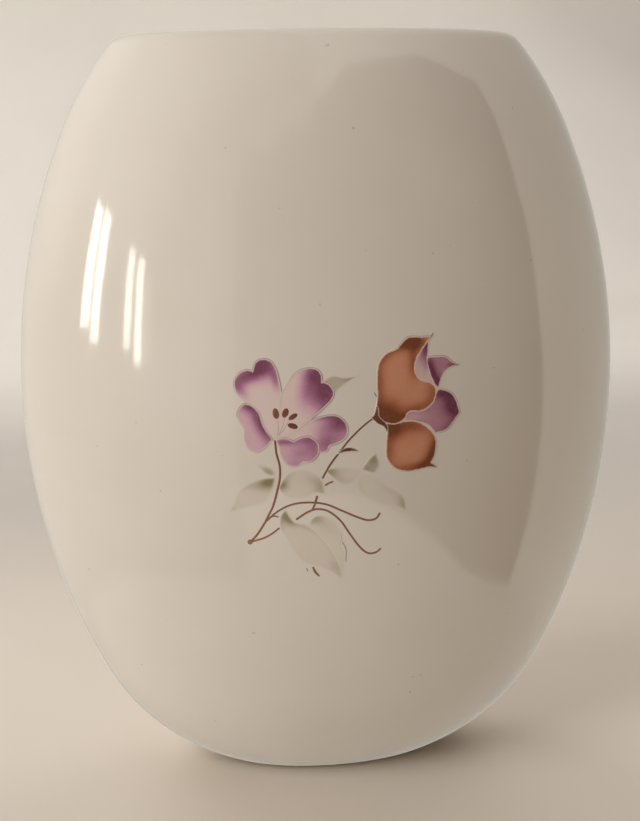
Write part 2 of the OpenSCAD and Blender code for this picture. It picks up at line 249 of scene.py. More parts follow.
def porcelain_material():
    mat, nt, bsdf = tree_of("glazed_porcelain")
    where = node(nt, "ShaderNodeTexCoord").outputs["Object"]
    colour = glaze_colour(nt, where)
    # The foot ring was wiped dry before firing: up to its top it is bare, matt bisque.
    z = node(nt, "ShaderNodeSeparateXYZ")
    nt.links.new(where, z.inputs[0])
    ragged = noise(nt, where, 160.0, 2.0, 0.6, (7.0, 2.0, 1.0))
    level = maths(nt, "ADD", z.outputs["Z"], maths(nt, "MULTIPLY", ragged, 0.0003))
    level = maths(nt, "MULTIPLY", level, 100.0, True)
    bare = ramp(nt, level, [(0.055, (1, 1, 1)), (0.07, (0, 0, 0))], "LINEAR")
    grain = noise(nt, where, 900.0, 3.0, 0.7)
    bisque = ramp(nt, grain, [(0.3, (0.62, 0.56, 0.47)), (0.7, (0.74, 0.69, 0.6))])
    nt.links.new(mix(nt, bare, colour, bisque), bsdf.inputs["Base Color"])
    glaze_finish(bsdf)
    rough = noise(nt, where, 9.0, 2.0, 0.5, (1.0, 4.0, 2.0))
    glossy = maths(nt, "ADD", maths(nt, "MULTIPLY", rough, 0.06), 0.06)
    nt.links.new(maths(nt, "ADD", glossy, maths(nt, "MULTIPLY", bare, 0.7)), bsdf.inputs["Roughness"])
    nt.links.new(maths(nt, "SUBTRACT", COAT, maths(nt, "MULTIPLY", bare, COAT)), bsdf.inputs["Coat Weight"])
    glaze_bump(nt, bsdf, where)
    return mat


def colour_material(name, stops, grain=0.12, fade=True):
    """Fired overglaze colour. `spray` is how heavily it was airbrushed, `cover` how much glaze it hides."""
    mat, nt, bsdf = tree_of(name)
    where = node(nt, "ShaderNodeTexCoord").outputs["Object"]
    spray = node(nt, "ShaderNodeAttribute", attribute_name="spray").outputs["Fac"]
    mist = noise(nt, where, 900.0, 3.0, 0.7, (2.0, 9.0, 4.0))
    wash = noise(nt, where, 130.0, 2.0, 0.5, (5.0, 5.0, 1.0))
    level = maths(nt, "ADD", spray, maths(nt, "MULTIPLY", maths(nt, "SUBTRACT", mist, 0.5), grain))
    level = maths(nt, "ADD", level, maths(nt, "MULTIPLY", maths(nt, "SUBTRACT", wash, 0.5), grain), True)
    colour = ramp(nt, level, stops, "LINEAR")
    if fade:
        cover = node(nt, "ShaderNodeAttribute", attribute_name="cover").outputs["Fac"]
        worn = maths(nt, "ADD", cover, maths(nt, "MULTIPLY", maths(nt, "SUBTRACT", mist, 0.5), 0.1), True)
        colour = mix(nt, worn, glaze_colour(nt, where), colour)
    nt.links.new(colour, bsdf.inputs["Base Color"])
    glaze_finish(bsdf)
    bsdf.inputs["Roughness"].default_value = ENAMEL_ROUGH
    glaze_bump(nt, bsdf, where)
    return mat


PORCELAIN = porcelain_material()


# ---------------------------------------------------------------- vase body

def body_rings():
    """(half width, oval ratio, height) from the underside's middle, over the rim, to the inside floor."""
    rings = [(RECESS_R * f, RECESS_OVAL, RECESS) for f in (0.25, 0.5, 0.75, 0.93)]
    roof = arc((RECESS_R - ROOF_ROUND, RECESS - ROOF_ROUND), ROOF_ROUND, math.pi / 2, 0, 0.2)
    rings += [(r, RECESS_OVAL, z) for r, z in roof]
    rings += [(RECESS_R, RECESS_OVAL, RECESS - ROOF_ROUND), (RECESS_R, RECESS_OVAL, RING_ROUND)]
    inside = arc((RECESS_R + RING_ROUND, RING_ROUND), RING_ROUND, math.pi, 1.5 * math.pi, 0.15)
    rings += [(r, RECESS_OVAL, z) for r, z in inside]
    rings += [(RECESS_R + RING_ROUND, RECESS_OVAL, 0.0), (FOOT_R - FOOT_EDGE, OVAL, 0.0)]
    outside = arc((FOOT_R - FOOT_EDGE, FOOT_EDGE), FOOT_EDGE, -math.pi / 2, 0, 0.18)
    rings += [(r, OVAL, z) for r, z in outside]
    rings += [(FOOT_R, OVAL, FOOT_EDGE), (FOOT_R, OVAL, FOOT_H - 0.05), (FOOT_R + 0.1, OVAL, FOOT_H + 0.03)]
    rings += [(SIDE_END[0] - 0.9, OVAL, FOOT_H + 0.03), (SIDE_END[0] - 0.25, OVAL, FOOT_H + 0.08)]
    rings += [(r, OVAL, z) for r, z in side(0, FOOT_H + 0.2)]

    # The oval of the outside turns into the oval of the cavity round the lip
    lip_c = (NECK_R + LIP_R, HEIGHT - LIP_R)
    for i, (r, z) in enumerate(arc(lip_c, LIP_R, math.pi / 2, math.pi, 0.3)):
        r = (r + lip_c[0]) / 2 if i == 0 else r
        rings.append((r, OVAL + (CAVITY_OVAL - OVAL) * min(1, i / 6), z))
    roof_z = HEIGHT - WALL
    rings += [(NECK_R, CAVITY_OVAL, HEIGHT - LIP_R), (NECK_R, CAVITY_OVAL, roof_z + NECK_ROUND)]
    neck = arc((NECK_R + NECK_ROUND, roof_z + NECK_ROUND), NECK_ROUND, math.pi, 1.5 * math.pi, 0.25)
    rings += [(r, CAVITY_OVAL, z) for r, z in neck]
    rings += [(NECK_R + NECK_ROUND, CAVITY_OVAL, roof_z)]
    inner = side(-WALL, FLOOR_Z + 1.5, 1.6)[::-1]
    rings += [(r, CAVITY_OVAL, z) for r, z in inner]
    r0 = inner[-1][0]
    rings += [(r0 - 2.2, CAVITY_OVAL, FLOOR_Z + 0.55), (r0 - 5.0, CAVITY_OVAL, FLOOR_Z + 0.1)]
    rings += [(r0 * f, CAVITY_OVAL, FLOOR_Z) for f in (0.75, 0.5, 0.25)]
    return rings


def make_body():
    rings = body_rings()
    verts, faces = [(0, 0, RECESS * MM)], []
    for r, k, z in rings:
        for i in range(AROUND):
            t = 2 * math.pi * i / AROUND
            verts.append((r * math.cos(t) * MM, r * k * math.sin(t) * MM, z * MM))
    verts.append((0, 0, FLOOR_Z * MM))

    def at(j, i):
        return 1 + j * AROUND + i % AROUND

    last = len(rings) - 1
    for i in range(AROUND):
        faces.append((0, at(0, i + 1), at(0, i)))
        for j in range(last):
            faces.append((at(j, i), at(j, i + 1), at(j + 1, i + 1), at(j + 1, i)))
        faces.append((len(verts) - 1, at(last, i), at(last, i + 1)))
    new_piece("vase", verts, faces, PORCELAIN, ["vase_body"])


make_body()


# ---------------------------------------------------------------- transfer outlines

# (x, z) in millimetres, seen from the front. A doubled point is a sharp corner.
OUTLINES = {
    "petal_upper_left": [(-23.1, 120.6), (-26.5, 124.5), (-28.3, 129.1), (-32.0, 132.0), (-34.0, 134.0),
        (-34.7, 137.4), (-33.3, 139.9), (-31.0, 141.0), (-29.2, 140.6), (-29.2, 140.6), (-28.3, 143.2),
        (-26.2, 144.2), (-23.9, 143.5), (-22.4, 140.9), (-21.6, 137.5), (-21.1, 133.9), (-21.1, 133.9),
        (-22.0, 127.6)],
    "petal_upper_right": [(-22.9, 120.6), (-21.9, 127.6), (-21.0, 133.9), (-21.0, 133.9),
        (-19.3, 136.5), (-17.0, 139.5), (-14.0, 141.0), (-10.9, 140.9), (-9.2, 139.2), (-9.1, 136.8),
        (-9.1, 136.8), (-7.2, 136.3), (-5.6, 134.1), (-6.1, 131.9), (-8.5, 129.4), (-12.8, 125.7),
        (-13.6, 125.0), (-13.6, 125.0), (-17.6, 122.3)],
    "petal_lower_left": [(-24.0, 120.2), (-24.0, 120.2), (-26.5, 124.1), (-27.8, 128.2), (-29.9, 130.4),
        (-32.0, 130.8), (-33.8, 128.7), (-33.7, 126.2), (-32.1, 123.3), (-32.2, 120.5), (-31.1, 117.5),
        (-28.6, 116.3), (-26.1, 117.8)],
    "petal_lower_right": [(-22.4, 120.3), (-17.6, 122.2), (-13.6, 125.0), (-13.6, 125.0), (-9.6, 126.4),
        (-5.3, 126.7), (-2.7, 125.1), (-1.6, 122.4), (-2.4, 119.7), (-5.1, 118.2), (-7.1, 117.7),
        (-7.1, 117.7), (-8.0, 116.0), (-10.2, 115.9), (-12.9, 118.6), (-17.6, 119.8)],
    "petal_bottom": [(-22.9, 119.9), (-22.9, 119.9), (-20.3, 120.3), (-17.7, 119.2), (-17.7, 119.2),
        (-15.5, 120.4), (-13.1, 120.5), (-10.6, 118.5), (-10.5, 115.4), (-12.7, 113.0), (-15.0, 112.9),
        (-16.9, 111.7), (-19.4, 112.1), (-21.2, 114.5), (-22.0, 117.7)],
    "leaflet": [(-8.3, 137.1), (-5.6, 138.7), (-1.9, 138.0), (2.5, 138.7), (2.5, 138.7), (-0.9, 136.8),
        (-4.0, 134.6), (-5.4, 133.4), (-5.4, 133.4)],
    "bud_upper_petal": [(24.6, 149.1), (24.6, 149.1), (21.3, 148.9), (17.5, 149.1), (15.0, 147.0),
        (13.9, 145.8), (10.4, 144.4), (8.2, 141.5), (7.6, 136.6), (7.7, 131.8), (6.9, 127.0),
        (7.4, 125.6), (10.1, 123.8), (13.2, 123.3), (15.7, 124.5), (17.4, 126.7), (21.6, 126.8),
        (24.7, 128.8), (25.9, 132.2), (24.5, 134.8), (21.1, 136.1), (19.3, 138.6), (19.6, 142.1),
        (22.1, 146.0)],
    "bud_lower_petal": [(10.5, 123.6), (13.7, 123.4), (16.5, 123.9), (20.2, 123.3), (23.7, 120.9),
        (25.8, 117.5), (25.6, 113.2), (24.4, 110.3), (24.4, 110.3), (26.2, 108.8), (23.6, 109.0),
        (19.9, 108.5), (16.5, 108.3), (12.9, 109.6), (10.5, 112.7), (10.3, 116.9), (10.6, 120.7)],
    "bud_calyx": [(7.3, 129.6), (7.3, 129.6), (6.5, 126.4), (5.7, 125.7), (7.4, 123.7), (9.6, 122.4),
        (10.5, 120.2), (10.5, 120.2), (10.8, 122.4), (10.1, 123.8), (8.2, 125.8), (8.0, 128.0)],
    "bud_violet_sliver": [(23.8, 148.6), (23.8, 148.6), (23.5, 144.8), (23.2, 141.5), (24.1, 138.0),
        (25.7, 133.5), (25.7, 133.5), (22.5, 135.7), (20.3, 137.0), (19.3, 138.9), (19.8, 142.1),
        (21.8, 145.5)],
    "bud_violet_curl": [(23.2, 142.3), (25.8, 142.8), (29.1, 142.5), (31.0, 141.0), (32.6, 139.9),
        (32.6, 139.9), (30.5, 139.3), (28.6, 138.0), (27.5, 135.9), (26.6, 133.0), (26.6, 133.0),
        (25.1, 135.3), (23.8, 138.6)],
    "bud_violet_lower": [(27.1, 132.8), (30.2, 131.8), (32.2, 129.6), (33.6, 125.3), (33.6, 125.3),
        (31.6, 122.7), (29.3, 120.3), (25.7, 119.5), (25.7, 119.5), (23.6, 122.0), (21.0, 123.2),
        (17.1, 123.9), (16.1, 124.5), (17.5, 126.6), (21.6, 126.7), (24.7, 128.6), (26.0, 131.7)],
    "leaf_left": [(-23.2, 108.5), (-23.2, 108.5), (-27.3, 108.2), (-31.8, 106.4), (-34.5, 103.9),
        (-36.0, 100.2), (-37.3, 97.3), (-37.3, 97.3), (-33.6, 98.4), (-29.6, 99.6), (-26.3, 101.2),
        (-24.1, 104.6)],
    "leaf_left_small": [(-23.0, 109.1), (-23.0, 109.1), (-24.1, 111.2), (-26.7, 112.3), (-29.9, 113.1),
        (-29.9, 113.1), (-27.2, 110.2), (-25.0, 108.8)],
    "leaf_centre": [(-22.4, 105.1), (-22.4, 105.1), (-20.9, 107.9), (-18.9, 109.9), (-15.1, 110.7),
        (-11.4, 109.3), (-9.3, 106.6), (-8.4, 102.3), (-8.4, 102.3), (-11.5, 103.0), (-15.2, 101.6),
        (-19.0, 101.8), (-21.5, 103.3)],
    "leaf_right": [(-8.7, 110.3), (-8.7, 110.3), (-4.4, 110.9), (2.6, 110.1), (2.6, 110.1),
        (1.9, 107.4), (-0.6, 105.5), (-3.4, 105.4), (-6.4, 107.7)],
    "leaf_right_small": [(2.5, 109.7), (2.5, 109.7), (4.3, 112.3), (7.0, 114.8), (7.0, 114.8),
        (8.1, 111.5), (7.0, 108.8), (5.7, 108.4)],
    "leaf_right_long": [(1.1, 105.8), (2.6, 108.4), (6.0, 107.9), (10.1, 104.5), (14.1, 102.0),
        (16.1, 99.7), (16.7, 95.5), (16.7, 95.5), (13.2, 97.3), (8.2, 98.5), (4.3, 100.5), (1.6, 103.5)],
    "leaf_low_front": [(-20.4, 98.4), (-20.4, 98.4), (-22.0, 96.1), (-22.1, 92.7), (-20.4, 89.1),
        (-17.6, 83.9), (-14.5, 80.7), (-9.9, 79.0), (-6.0, 77.0), (-3.1, 74.2), (-3.1, 74.2),
        (-3.6, 78.6), (-5.5, 82.9), (-8.0, 86.7), (-11.0, 90.6), (-14.2, 93.0), (-18.0, 94.4)],
    "leaf_low_back": [(-13.1, 92.1), (-12.7, 94.8), (-10.4, 96.1), (-7.3, 95.2), (-4.9, 92.6),
        (-3.6, 88.9), (-3.2, 85.6), (-2.1, 83.1), (-2.6, 79.0), (-3.2, 75.5), (-5.5, 82.7), (-8.8, 87.9)],
    "sepal": [(-5.0, 114.9), (-5.0, 114.9), (-3.0, 116.5), (-0.6, 116.8), (1.5, 115.9), (1.9, 115.0),
        (1.9, 115.0), (0.6, 115.5), (-1.7, 115.5)],
}
LINES = {
    "stem_1": [(-23.2, 119.9), (-22.9, 115.9), (-22.0, 112.0), (-22.0, 108.2), (-22.8, 104.3),
        (-24.0, 99.8), (-25.5, 96.5), (-26.8, 93.9), (-29.1, 90.2), (-31.1, 88.0)],
    "stem_2": [(7.1, 125.9), (3.3, 123.2), (-0.6, 119.6), (-3.8, 115.8), (-6.6, 112.2), (-8.2, 109.6),
        (-9.3, 107.6)],
    "stem_2b": [(-10.9, 102.2), (-11.6, 99.7), (-12.5, 97.7)],
    "dash": [(-8.5, 105.3), (-7.4, 106.0), (-6.0, 106.5)],
    "tendril_1": [(-26.4, 94.5), (-22.7, 97.7), (-18.5, 99.7), (-13.6, 100.2), (-8.3, 99.4), (-3.4, 97.1),
        (1.5, 94.7), (4.6, 93.6), (7.1, 94.0), (8.3, 95.7)],
    "tendril_2a": [(-31.1, 88.0), (-27.1, 89.2), (-24.4, 90.7), (-22.3, 92.4)],
    "tendril_2b": [(-17.3, 94.9), (-13.7, 97.2), (-10.7, 98.0), (-7.5, 97.1), (-4.0, 94.1), (-0.9, 89.4),
        (2.1, 85.1), (4.7, 82.9), (7.2, 83.0), (8.7, 84.2)],
    "twig": [(-24.9, 96.0), (-23.7, 96.2), (-22.5, 95.9)],
    "mark": [(-12.3, 79.4), (-11.5, 77.6), (-10.3, 76.2)],
}
# x, z, width, length, lean in degrees
ANTHERS = [
    (-22.8, 127.9, 2.2, 3.9, 8), (-20.0, 128.0, 2.1, 3.3, -22), (-17.8, 126.8, 1.7, 3.4, -58),
    (-17.9, 124.0, 1.9, 3.5, 72),
]
FILAMENTS = [
    [(-22.6, 121.4), (-22.1, 123.6), (-22.6, 126.6)],
    [(-22.4, 121.4), (-21.0, 123.5), (-20.2, 126.8)],
    [(-22.1, 121.3), (-20.4, 123.2), (-18.8, 126.2)],
]


def spline(a, b, c, d, t):
    """A smooth curve from b to c, with a and d as its neighbours."""
    return tuple(
        0.5 * (2 * q + (r - p) * t + (2 * p - 5 * q + 4 * r - s) * t * t + (3 * q - p - 3 * r + s) * t**3)
        for p, q, r, s in zip(a, b, c, d)
    )


def closed(p, n=8):
    """A smooth closed outline through the points, with n steps from each to the next."""
    m, out = len(p), []
    for i in range(m):
        if math.dist(p[i], p[(i + 1) % m]) > 0.01:
            out += [spline(p[i - 1], p[i], p[(i + 1) % m], p[(i + 2) % m], j / n) for j in range(n)]
    return out


def opened(p, n=10):
    """A smooth line through the points, with n steps from each to the next."""
    m, out = len(p), []
    for i in range(m - 1):
        out += [spline(p[max(i - 1, 0)], p[i], p[i + 1], p[min(i + 2, m - 1)], j / n) for j in range(n)]
    return out + [tuple(p[-1])]


def edge_distance(points, loop):
    """How far each point is from a closed outline."""
    q = np.array(points, float)
    a = np.array(loop, float)
    d = np.roll(a, -1, axis=0) - a
    best = np.full(len(q), 1e9)
    for i in range(len(a)):
        t = np.clip(((q - a[i]) @ d[i]) / max(d[i] @ d[i], 1e-12), 0, 1)
        best = np.minimum(best, np.hypot(*(q - a[i] - t[:, None] * d[i]).T))
    return best


def within(points, loop):
    """Which points are inside a closed outline."""
    q = np.array(points, float)
    hit = np.zeros(len(q), bool)
    for (ax, ay), (bx, by) in zip(loop, loop[1:] + loop[:1]):
        if ay != by:
            spans = (ay > q[:, 1]) != (by > q[:, 1])
            hit ^= spans & (q[:, 0] < (bx - ax) * (q[:, 1] - ay) / (by - ay) + ax)
    return hit


def sprayed(points, base, puffs):
    """Airbrush puffs (x, z, length, width, lean in degrees, strength) over a base level."""
    q = np.array(points, float)
    total = np.full(len(q), base)
    for x, z, a, b, lean, s in puffs:
        c, n = math.cos(math.radians(lean)), math.sin(math.radians(lean))
        u, v = (q[:, 0] - x) * c + (q[:, 1] - z) * n, -(q[:, 0] - x) * n + (q[:, 1] - z) * c
        total += s * np.exp(-((u / a) ** 2) - (v / b) ** 2)
    return total


def add_levels(ob, spray, cover):
    """The two point attributes that the enamel materials read."""
    for attr, values in (("spray", spray), ("cover", cover)):
        at = ob.data.attributes.new(attr, "FLOAT", "POINT")
        at.data.foreach_set("value", np.clip(values, 0, 1).astype(np.float32))


def film(name, loop, lift, material, nodes, base, puffs, edge, soft):
    """A thin colour skin on the glaze inside an outline. edge adds (strength, reach) of pooled colour
    along it, and soft is the width over which the colour fades out into the glaze."""
    rng = np.random.default_rng(sum(map(ord, name)))
    flat = np.array(loop)
    (x0, z0), (x1, z1) = flat.min(0), flat.max(0)
    rows, cols = int((z1 - z0) / ROW) + 2, int((x1 - x0) / GRID) + 2
    j, i = np.mgrid[0:rows, 0:cols]
    inner = np.stack([x0 + (i + 0.5 * (j % 2)) * GRID, z0 + j * ROW], -1).reshape(-1, 2)
    inner = inner + rng.uniform(-0.03, 0.03, inner.shape)
    inner = inner[within(inner, loop)]
    inner = inner[edge_distance(inner, loop) > GRID * 0.5]
    points = [Vector(p) for p in loop] + [Vector(p) for p in inner.tolist()]
    flat, _, tris, _, _, _ = delaunay_2d_cdt(points, [], [list(range(len(loop)))], 1, 1e-6)
    keep = [(p.x, p.y) for p in flat]
    verts = [on_glaze(x, z, lift) for x, z in keep]
    faces = [tuple(t) for t in tris]
    edges = {(a, b) for t in faces for a, b in zip(t, t[1:] + t[:1])}
    top, low = {}, {}
    for a, b in sorted(e for e in edges if (e[1], e[0]) not in edges):
        for v in (a, b):
            if v not in top:
                top[v], low[v] = len(verts), len(verts) + 1
                verts += [on_glaze(*keep[v], lift), on_glaze(*keep[v], -0.05)]
                keep += [keep[v], keep[v]]
        faces.append((top[a], low[a], low[b], top[b]))
    ob = new_piece(name, verts, faces, material, nodes)
    depth = edge_distance(keep, loop)
    level = sprayed(keep, base, puffs) + edge[0] * np.exp(-depth / edge[1])
    add_levels(ob, level, np.clip(depth / soft, 0, 1))


def ridge(path, width, lift):
    """Vertices and faces of a painted line: a low rounded ridge of colour along a path on the glaze."""
    profile = [(-1.0, -0.5), (-0.8, 0.55), (-0.35, 0.95), (0.35, 0.95), (0.8, 0.55), (1.0, -0.5)]
    m, n, verts, faces = len(profile), len(path), [], []
    for i, (x, z) in enumerate(path):
        (ax, az), (bx, bz) = path[max(i - 1, 0)], path[min(i + 1, n - 1)]
        k = math.hypot(bx - ax, bz - az) or 1.0
        nx, nz = -(bz - az) / k, (bx - ax) / k
        w = width(i / (n - 1)) / 2
        verts += [on_glaze(x + nx * s * w, z + nz * s * w, lift * h) for s, h in profile]
    for i in range(n - 1):
        faces += [(i * m + j, i * m + j + 1, i * m + j + 1 + m, i * m + j + m) for j in range(m - 1)]
    faces += [tuple(range(m))[::-1], tuple(range((n - 1) * m, n * m))]
    return verts, faces


def dot(x, z, width, length, lean, lift):
    """Vertices and faces of a low rounded drop of colour."""
    c, n = math.cos(math.radians(lean)), math.sin(math.radians(lean))
    verts, faces = [on_glaze(x, z, lift)], []
    for f, h in ((0.45, 0.97), (0.8, 0.8), (0.95, 0.45), (1.0, -0.5)):
        for i in range(DOT_AROUND):
            t = 2 * math.pi * i / DOT_AROUND
            u, v = f * width / 2 * math.cos(t), f * length / 2 * math.sin(t)
            verts.append(on_glaze(x + u * c - v * n, z + u * n + v * c, lift * h))
    for i in range(DOT_AROUND):
        faces.append((0, 1 + i, 1 + (i + 1) % DOT_AROUND))
        for k in range(3):
            a, b = 1 + k * DOT_AROUND + i, 1 + k * DOT_AROUND + (i + 1) % DOT_AROUND
            faces.append((a, a + DOT_AROUND, b + DOT_AROUND, b))
    return verts, faces


def painted(name, parts, material, nodes, level=0.5):
    """Several ridges and dots of one colour as one piece. A part is (vertices, faces) or also has a level."""
    verts, faces, levels = [], [], []
    for part in parts:
        start = len(verts)
        verts += part[0]
        faces += [tuple(start + v for v in f) for f in part[1]]
        levels += [part[2] if len(part) > 2 else level] * len(part[0])
    ob = new_piece(name, verts, faces, material, nodes)
    bm = bmesh.new()
    bm.from_mesh(ob.data)
    bmesh.ops.recalc_face_normals(bm, faces=bm.faces)
    bm.to_mesh(ob.data)
    bm.free()
    add_levels(ob, np.array(levels), np.ones(len(levels)))


def rim(loop, start, stop, out):
    """Part of an outline from start to stop, as shares of its length, moved outwards by out millimetres."""
    p = np.array(loop)
    if (np.roll(p[:, 0], -1) * p[:, 1] - p[:, 0] * np.roll(p[:, 1], -1)).sum() < 0:
        out = -out
    d = np.roll(p, -1, 0) - np.roll(p, 1, 0)
    d /= np.maximum(np.hypot(*d.T), 1e-9)[:, None]
    p = p + np.stack([-d[:, 1], d[:, 0]], 1) * out
    step = np.hypot(*(np.roll(p, -1, 0) - p).T)
    at = np.concatenate([[0], np.cumsum(step)])
    total = at[-1]
    ring = np.vstack([p, p[:1]])
    n = max(6, int((stop - start) * total / 0.35))
    where = (np.linspace(start, stop, n) % 1.0) * total
    return list(zip(np.interp(where, at, ring[:, 0]).tolist(), np.interp(where, at, ring[:, 1]).tolist()))


# ---------------------------------------------------------------- fired colours

LILAC = colour_material("lilac_enamel", [
    (0.0, (0.79, 0.69, 0.605)), (0.2, (0.78, 0.60, 0.57)), (0.4, (0.70, 0.44, 0.51)),
    (0.6, (0.54, 0.27, 0.385)), (0.8, (0.37, 0.148, 0.24)), (1.0, (0.235, 0.078, 0.135))])
VIOLET = colour_material("violet_enamel", [
    (0.0, (0.77, 0.60, 0.53)), (0.3, (0.60, 0.36, 0.40)), (0.55, (0.46, 0.22, 0.28)),
    (0.8, (0.29, 0.108, 0.16)), (1.0, (0.175, 0.053, 0.095))])
RUSSET = colour_material("russet_enamel", [
    (0.0, (0.70, 0.335, 0.20)), (0.35, (0.58, 0.245, 0.14)), (0.6, (0.45, 0.16, 0.08)),
    (0.8, (0.32, 0.102, 0.045)), (1.0, (0.215, 0.067, 0.031))])
BROWN = colour_material("brown_enamel", [
    (0.0, (0.42, 0.22, 0.14)), (0.5, (0.235, 0.086, 0.048)), (1.0, (0.13, 0.045, 0.022))], grain=0.25)
STEM = colour_material("stem_enamel", [
    (0.0, (0.50, 0.22, 0.11)), (0.5, (0.27, 0.10, 0.05)), (1.0, (0.16, 0.07, 0.045))], grain=0.3)
LEAF = colour_material("leaf_enamel", [
    (0.0, (0.77, 0.70, 0.60)), (0.3, (0.68, 0.61, 0.50)), (0.6, (0.51, 0.44, 0.335)),
    (0.85, (0.37, 0.31, 0.20)), (1.0, (0.28, 0.235, 0.13))], grain=0.1)
PALE = colour_material("pale_outline", [(0.0, (0.76, 0.63, 0.56)), (1.0, (0.74, 0.49, 0.40))], fade=False)
SHADE = colour_material("shade_line", [
    (0.0, (0.60, 0.50, 0.44)), (0.5, (0.44, 0.33, 0.31)), (1.0, (0.27, 0.19, 0.15))], fade=False, grain=0.4)

